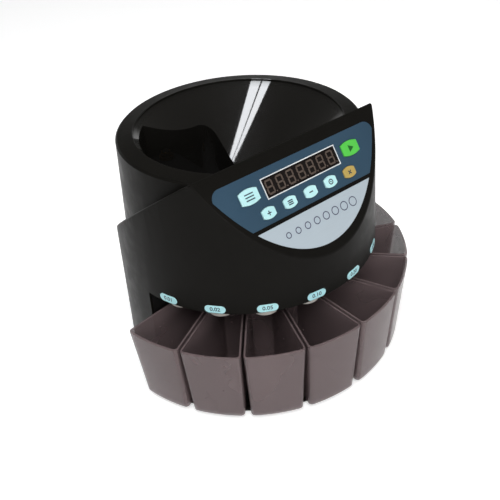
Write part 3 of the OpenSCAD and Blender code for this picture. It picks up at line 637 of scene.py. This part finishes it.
def model_cup(name):
    bpy.ops.object.select_all(action="DESELECT")
    count = len(wedge(*RIM_OUTLINE))
    bpy.ops.mesh.primitive_cylinder_add(
        vertices=count, radius=50 * MM, depth=cup_high.z - cup_low.z, location=(0, 0, (cup_low.z + cup_high.z) / 2))
    cup = settle(made(name))
    for height, outline in ((cup_high.z, RIM_OUTLINE), (cup_low.z, FLOOR_OUTLINE)):
        for vertex, (x, y) in zip(ring_of(cup, height), wedge(*outline)):
            vertex.co.x = x
            vertex.co.y = y
    edit(cup, "FACE")
    pick(cup, "faces", lambda face: len(face.verts) == count and face.calc_center_median().z > 50 * MM)
    bpy.ops.mesh.delete(type="ONLY_FACE")
    bpy.ops.mesh.select_mode(type="EDGE")
    pick(cup, "edges", lambda edge: all(abs(v.co.z - cup_low.z) < 0.1 * MM for v in edge.verts))
    bpy.ops.mesh.bevel(offset=CUP_FLOOR_ROUND, segments=4, affect="EDGES")
    close()
    apply(cup, "SOLIDIFY", thickness=CUP_WALL, offset=-1, use_even_offset=True, use_quality_normals=True)
    edit(cup, "EDGE")
    pick(cup, "edges", lambda edge: all(abs(v.co.z - cup_high.z) < 0.05 * MM for v in edge.verts)
         and edge.is_manifold and edge.calc_face_angle() > math.radians(40))
    bpy.ops.mesh.bevel(offset=CUP_RIM_ROUND, segments=3, affect="EDGES")
    close()
    return cup


first_cup = model_cup("cup_bin_1")
for number, angle in enumerate(cup_angles, 1):
    cup = first_cup
    if number < 8:
        cup = first_cup.copy()
        cup.data = first_cup.data.copy()
        bpy.context.scene.collection.objects.link(cup)
    cup.name = f"cup_bin_{number}"
    cup.data.transform(Matrix.Translation((0, axis_y, 0)) @ Matrix.Rotation(angle, 4, "Z"))
    smooth(cup, 30)
    dress(cup, cup_smoke, f"cup_{number}", f"cup_{number}", slot="cup_smoke")
print("cups:", len(cup_angles), "faces each:", len(first_cup.data.polygons))

# %% [markdown]
# ## Keys
# Each key is a barrel-shaped cap with softly rounded top edges, which the solid leaves sharp. The top outline of the
# solid's copy is found by its height over the panel, and bevelled.

# %% Key caps
KEY_ROUND = 0.45 * MM
KEY_FINISHES = {"key_start": key_green, "key_clear": key_tan}
KEY_NAMES = ["key_list", "key_start", "key_plus", "key_batch", "key_minus", "key_set", "key_clear"]


def top_outline(height):
    def test(edge):
        return edge.is_manifold and edge.calc_face_angle() > math.radians(30) and all(
            abs(panel_out.dot(v.co) - height) < 0.02 * MM for v in edge.verts)
    return test


for node in KEY_NAMES:
    cap = copy_of(node, node + "_cap")
    top = max(panel_out.dot(v.co) for v in cap.data.vertices)
    edit(cap, "EDGE")
    edges = pick(cap, "edges", top_outline(top))
    bpy.ops.mesh.bevel(offset=KEY_ROUND, segments=4, affect="EDGES")
    close()
    smooth(cap, 30)
    dress(cap, KEY_FINISHES.get(node, key_cyan), node, node, slot=node_slots[node])
    print(node, "edges rounded:", edges)

# %% [markdown]
# ## Printing
# Signs, digits and numbers are thin plates of ink, so that they ride on their key without a texture. Each is made
# flat, from planes and circles that are extruded by the ink's thickness, and is then laid on what carries it. The keys
# get three lines, a start arrow, plus, three short lines, minus, a ring with a dot and a cross.

# %% Flat ink shapes
INK = 0.06 * MM


def flat(name, x, y, turn):
    """Extrudes the flat primitive that was just added and puts it in its place"""
    obj = made(name)
    edit(obj, "FACE")
    bpy.ops.mesh.select_all(action="SELECT")
    bpy.ops.mesh.extrude_region_move(TRANSFORM_OT_translate={"value": (0, 0, INK)})
    bpy.ops.mesh.select_all(action="SELECT")
    bpy.ops.mesh.normals_make_consistent(inside=False)
    close()
    obj.data.transform(Matrix.Translation((x, y, 0)) @ Matrix.Rotation(turn, 4, "Z"))
    return obj


def bar(length, width, x=0.0, y=0.0, turn=0.0, point=0.0):
    """A straight bar, with pointed ends if need be"""
    bpy.ops.object.select_all(action="DESELECT")
    bpy.ops.mesh.primitive_plane_add(size=1)
    obj = bpy.context.active_object
    obj.data.transform(Matrix.Diagonal((length, width, 1, 1)))
    if point:
        edit(obj, "VERT")
        bpy.ops.mesh.select_all(action="SELECT")
        bpy.ops.mesh.bevel(offset=point, affect="VERTICES")
        close()
    return flat("bar", x, y, turn)


def disc(radius, sides=48, x=0.0, y=0.0, turn=0.0, hole=0.0):
    """A filled disc or polygon, or a ring with that hole"""
    bpy.ops.object.select_all(action="DESELECT")
    bpy.ops.mesh.primitive_circle_add(vertices=sides, radius=radius, fill_type="NGON")
    obj = bpy.context.active_object
    if hole:
        edit(obj, "FACE")
        bpy.ops.mesh.select_all(action="SELECT")
        bpy.ops.mesh.inset(thickness=radius - hole)
        bpy.ops.mesh.delete(type="FACE")
        close()
    return flat("disc", x, y, turn)


def lay(obj, centre, out):
    """Lays a flat shape on the panel, over a centre and at a height above the panel's face"""
    foot = on_panel(centre, 0, 0, out)
    turn = Matrix((panel_right, panel_up, panel_out)).transposed().to_4x4()
    obj.data.transform(Matrix.Translation(foot) @ turn)
    return obj


def middle(node):
    low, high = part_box(node)
    return (low + high) / 2


# %% Key signs
quarter = math.pi / 2
LINE = 1.1 * MM
SIGNS = {
    "key_list": lambda: [bar(10 * MM, LINE, y=row * 2.8 * MM) for row in (-1, 0, 1)],
    "key_start": lambda: [disc(4.2 * MM, 3, turn=-quarter)],
    "key_plus": lambda: [bar(4.6 * MM, LINE), bar(4.6 * MM, LINE, turn=quarter)],
    "key_batch": lambda: [bar(6 * MM, LINE, y=row * 1.8 * MM) for row in (-1, 0, 1)],
    "key_minus": lambda: [bar(4.6 * MM, LINE)],
    "key_set": lambda: [disc(2.8 * MM, hole=1.8 * MM), disc(0.8 * MM)],
    "key_clear": lambda: [bar(5 * MM, LINE, turn=side * quarter / 2) for side in (-1, 1)],
}
for node, draw in SIGNS.items():
    sign = join(draw(), node + "_sign")
    key_top = max(panel_out.dot(v.co) for v in frame["nodes"][node].data.vertices)
    lay(sign, middle(node), key_top - panel_height)
    dress(sign, ink_green if node == "key_start" else ink_dark, node)
print("signs:", len(SIGNS))

# %% [markdown]
# ## The display
# Seven unlit digits stand behind a dark window. Each has seven pointed segments and a dot, dull brown on black.

# %% Seven digits of seven segments
DIGIT_COUNT = 7
DIGIT_PITCH = 12.9 * MM
DIGIT_W = 7 * MM
DIGIT_H = 12.4 * MM
SEGMENT = 1.7 * MM
SEGMENT_POINT = 0.5 * MM
DOT_R = 0.75 * MM
half_h = DIGIT_H / 2


def digit(x):
    level = [bar(DIGIT_W, SEGMENT, x, row * half_h, point=SEGMENT_POINT) for row in (-1, 0, 1)]
    upright = [
        bar(half_h - SEGMENT / 3, SEGMENT, x + side * DIGIT_W / 2, row * half_h / 2, quarter, point=SEGMENT_POINT)
        for side in (-1, 1) for row in (-1, 1)]
    return level + upright + [disc(DOT_R, 16, x + DIGIT_W / 2 + 2 * DOT_R + SEGMENT / 2, -half_h)]


strokes = []
for place in range(DIGIT_COUNT):
    strokes += digit((place - (DIGIT_COUNT - 1) / 2) * DIGIT_PITCH - DOT_R)
digits = join(strokes, "display_digits")
lay(digits, middle("display_window"), 0)
dress(digits, segment_brown, "chassis")
print("digit faces:", len(digits.data.polygons))

# %% [markdown]
# ## The name plate and the labels
# The silver plate carries a row of rings that grow like a coin gauge. Every label over a cup has a plain value in
# dark ink. Numbers are text made into a mesh, wrapped round the body's cone.

# %% A gauge of rings on the silver plate
RING_COUNT = 8
RING_PITCH = 12 * MM
RING_LINE = 0.9 * MM
RING_R = 3.1 * MM
RING_GROWTH = 0.26 * MM
RING_DROP = 13 * MM
plate_points = [v.co for v in frame["nodes"]["nameplate"].data.vertices]
plate_top = max(panel_up.dot(point) for point in plate_points)
plate_heart = on_panel(middle("nameplate"), 0, 0, 0)
plate_heart += panel_up * (plate_top - RING_DROP - panel_up.dot(plate_heart))
rings = []
for place in range(RING_COUNT):
    ring_r = RING_R + RING_GROWTH * place
    rings.append(disc(ring_r, 40, x=(place - (RING_COUNT - 1) / 2) * RING_PITCH, hole=ring_r - RING_LINE))
gauge = join(rings, "plate_rings")
lay(gauge, plate_heart, 0)
dress(gauge, ink_navy, "chassis")
print("gauge faces:", len(gauge.data.polygons))

# %% Values on the labels
VALUES = ["0.01", "0.02", "0.05", "0.10", "0.20", "0.50", "1.00", "2.00"]
VALUE_SIZE = 6.2 * MM
VALUE_WEIGHT = 0.1 * MM
label_points = [v.co for v in frame["nodes"]["denomination_labels"].data.vertices]
label_low, label_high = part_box("denomination_labels")
label_z = (label_low.z + label_high.z) / 2
label_r = max(math.hypot(p.x, p.y - axis_y) for p in label_points if p.z < label_z)


def value(text, angle):
    bpy.ops.object.select_all(action="DESELECT")
    bpy.ops.object.text_add()
    obj = bpy.context.active_object
    obj.data.body = text
    obj.data.size = VALUE_SIZE
    obj.data.align_x = "CENTER"
    obj.data.align_y = "CENTER"
    obj.data.extrude = INK / 2
    obj.data.offset = VALUE_WEIGHT
    bpy.ops.object.convert(target="MESH")
    for vertex in obj.data.vertices:
        height = label_z + vertex.co.y
        radius = label_r - (height - label_low.z) * math.tan(BODY_DRAFT) + vertex.co.z
        vertex.co = round_axis(radius, angle + vertex.co.x / label_r, height)
    return obj


numbers = join([value(text, angle) for text, angle in zip(VALUES, cup_angles)], "label_values")
dress(numbers, ink_dark, "chassis")
print("label radius mm:", round(label_r / MM, 2))

# %% [markdown]
# ## Camera, light and floor
# The camera stands to the left of the machine and well above it, a little tilted. The studio has a pale floor, white
# walls and a dim ceiling. Camera, gloss and clear plastic all show that room, and for any other light it is an even
# grey, so that the white comes from the room and not from more light on the machine. The lamps hide from gloss, except
# a small one in front that draws the panel's edge.

# %% Camera
CAMERA_PLACE = Vector((-401.8, -525, 576.6)) * MM
CAMERA_AZIMUTH = math.radians(-36.97)
CAMERA_DROP = math.radians(35.36)
CAMERA_ROLL = math.radians(-4.47)
PHOTO_SIZE = 500
FOCAL_PIXELS = 726.4
CENTRE_PIXEL = (252.5, 245.6)

bpy.ops.object.select_all(action="DESELECT")
bpy.ops.object.camera_add(location=CAMERA_PLACE)
camera = bpy.context.active_object
level = math.cos(CAMERA_DROP)
back = Vector((math.sin(CAMERA_AZIMUTH) * level, -math.cos(CAMERA_AZIMUTH) * level, math.sin(CAMERA_DROP)))
camera.rotation_mode = "QUATERNION"
camera.rotation_quaternion = (-back).to_track_quat("-Z", "Y") @ Matrix.Rotation(CAMERA_ROLL, 3, "Z").to_quaternion()
camera.data.lens = camera.data.sensor_width * FOCAL_PIXELS / PHOTO_SIZE
camera.data.shift_x = -(CENTRE_PIXEL[0] - PHOTO_SIZE / 2) / PHOTO_SIZE
camera.data.shift_y = (CENTRE_PIXEL[1] - PHOTO_SIZE / 2) / PHOTO_SIZE
scene = bpy.context.scene
scene.camera = camera
scene.view_settings.view_transform = "Standard"
print("lens mm:", round(camera.data.lens, 1))

# %% Floor and world
WHITE = (1, 1, 1, 1)
DIM = (0.12, 0.117, 0.112, 1)
EVEN_GREY = (0.2, 0.203, 0.208, 1)
FLOOR_GLOW = 0.5
CEILING_FROM = (0.12, 0.25)
bpy.ops.object.select_all(action="DESELECT")
bpy.ops.mesh.primitive_plane_add(size=8, location=(0, 0, 0))
floor = made("floor")
floor_finish = Finish("floor_pale", (0.95, 0.95, 0.95), 0.7, Specular_IOR_Level=0.1, Emission_Strength=FLOOR_GLOW)
pale = floor_finish.between(floor_finish.noise(0.4, 2), (0.94, 0.94, 0.94, 1), (0.97, 0.97, 0.97, 1))
floor_finish.feed("Base Color", floor_finish.by_ray(pale, (0.8, 0.8, 0.8, 1)))
floor_finish.feed("Emission Color", floor_finish.by_ray(WHITE, (0, 0, 0, 1)))
floor.data.materials.append(floor_finish.material)
world = bpy.data.worlds.new("studio")
scene.world = world
world.use_nodes = True
room = Tree(world.node_tree, "Background")
upward = room.node("SeparateXYZ", {}, {"Vector": room.node("TexCoord", {}, {}, "Generated")}, "Z")
walls_and_ceiling = room.between(room.steps(upward, *CEILING_FROM), WHITE, DIM)
room.feed("Color", room.by_ray(walls_and_ceiling, EVEN_GREY))
print("world nodes:", len(room.tree.nodes))


# %% Lights
def light(name, azimuth, elevation, distance, size, power, colour=(1, 1, 1), mirrored=False):
    """A soft light that looks at the machine from an azimuth and an elevation, in degrees"""
    a, e = math.radians(azimuth), math.radians(elevation)
    outward = Vector((math.sin(a) * math.cos(e), -math.cos(a) * math.cos(e), math.sin(e)))
    bpy.ops.object.select_all(action="DESELECT")
    bpy.ops.object.light_add(type="AREA", location=outward * distance + Vector((0, 0, 0.15)))
    lamp = bpy.context.active_object
    lamp.name = name
    lamp.data.shape = "RECTANGLE"
    lamp.data.size, lamp.data.size_y = size
    lamp.data.energy = power
    lamp.data.color = colour
    lamp.visible_glossy = mirrored
    lamp.rotation_mode = "QUATERNION"
    lamp.rotation_quaternion = (-outward).to_track_quat("-Z", "Y")


light("front_softbox", -34, 50, 2.0, (1.2, 0.8), 17)
light("edge_softbox", -12, 14, 1.6, (0.45, 0.45), 4, mirrored=True)
light("right_softbox", 75, 40, 2.0, (1.0, 1.4), 5, (1, 0.95, 0.88))
light("rear_softbox", 190, 55, 2.0, (1.6, 0.8), 6)
light("window_softbox", -58, 72, 1.6, (0.7, 0.3), 8)

# %% [markdown]
# ## A window overhead
# The polished funnel mirrors a window with two panes as a bright streak. Their place could be found by trial. Here rays
# leave the camera along three straight lines of the picture, meet the funnel's cone, are mirrored there, and meet the
# window's plane overhead. The panes show in gloss alone, and a soft lamp beside them gives their light.

# %% A window that the funnel mirrors
MIRROR_R = 130 * MM
PANE_Z = 1.5
PANE_GLOW = 20
BAR_SHARE = 0.08
PANE_STEPS = 14
STREAK_LEFT = ((251.5, 78), (228.7, 161))
STREAK_BAR = ((262.5, 78), (232.4, 161))
STREAK_RIGHT = ((271.5, 78), (234.2, 161))

edge = max(funnel_points, key=lambda point: point.z)
edge_r = math.hypot(edge.x, edge.y - axis_y)
bpy.ops.object.select_all(action="DESELECT")
bpy.ops.mesh.primitive_cone_add(
    vertices=2 * ROUND_SIDES, radius1=0, radius2=MIRROR_R, depth=MIRROR_R * math.tan(FUNNEL_SLOPE),
    end_fill_type="NOTHING", location=(0, axis_y, edge.z + (MIRROR_R / 2 - edge_r) * math.tan(FUNNEL_SLOPE)))
mirror = settle(made("funnel_mirror"))
bpy.context.view_layer.update()


def through_funnel(across, down):
    """Where a ray through a pixel goes on the window's plane once the funnel has mirrored it"""
    gaze = Vector(((across - CENTRE_PIXEL[0]) / FOCAL_PIXELS, (CENTRE_PIXEL[1] - down) / FOCAL_PIXELS, -1))
    ray = camera.rotation_quaternion @ gaze
    place = mirror.ray_cast(CAMERA_PLACE, ray)[1]
    away = ray.reflect(funnel_normal(place))
    return place + away * ((PANE_Z - place.z) / away.z)


def pane_edge(line):
    top, foot = [Vector(pixel) for pixel in line]
    return [through_funnel(*top.lerp(foot, step / PANE_STEPS)) for step in range(PANE_STEPS + 1)]


pane_light = Finish("pane_light", (0.9, 0.9, 0.9), 0.5, Emission_Strength=PANE_GLOW)
pane_light.feed("Emission Color", pane_light.between(pane_light.noise(0.3), (0.9, 0.94, 1, 1), (1, 1, 1, 1)))
bar_edge = pane_edge(STREAK_BAR)
for name, line in (("pane_left", STREAK_LEFT), ("pane_right", STREAK_RIGHT)):
    outer = pane_edge(line)
    inner = [bar_point.lerp(point, BAR_SHARE) for bar_point, point in zip(bar_edge, outer)]
    bpy.ops.object.select_all(action="DESELECT")
    bpy.ops.mesh.primitive_grid_add(x_subdivisions=PANE_STEPS, y_subdivisions=1)
    pane = made(name)
    vertices = sorted(pane.data.vertices, key=lambda v: (round(v.co.y, 3), v.co.x))
    for vertex, place in zip(vertices, inner + outer):
        vertex.co = place
    pane.data.materials.append(pane_light.material)
    pane.visible_diffuse = False
    print(name, [round(x, 2) for x in outer[0]], [round(x, 2) for x in outer[-1]])
bpy.data.objects.remove(mirror)

# %% [markdown]
# ## Finish
# Last, nothing is left selected.

# %% Nothing selected
bpy.ops.object.select_all(action="DESELECT")
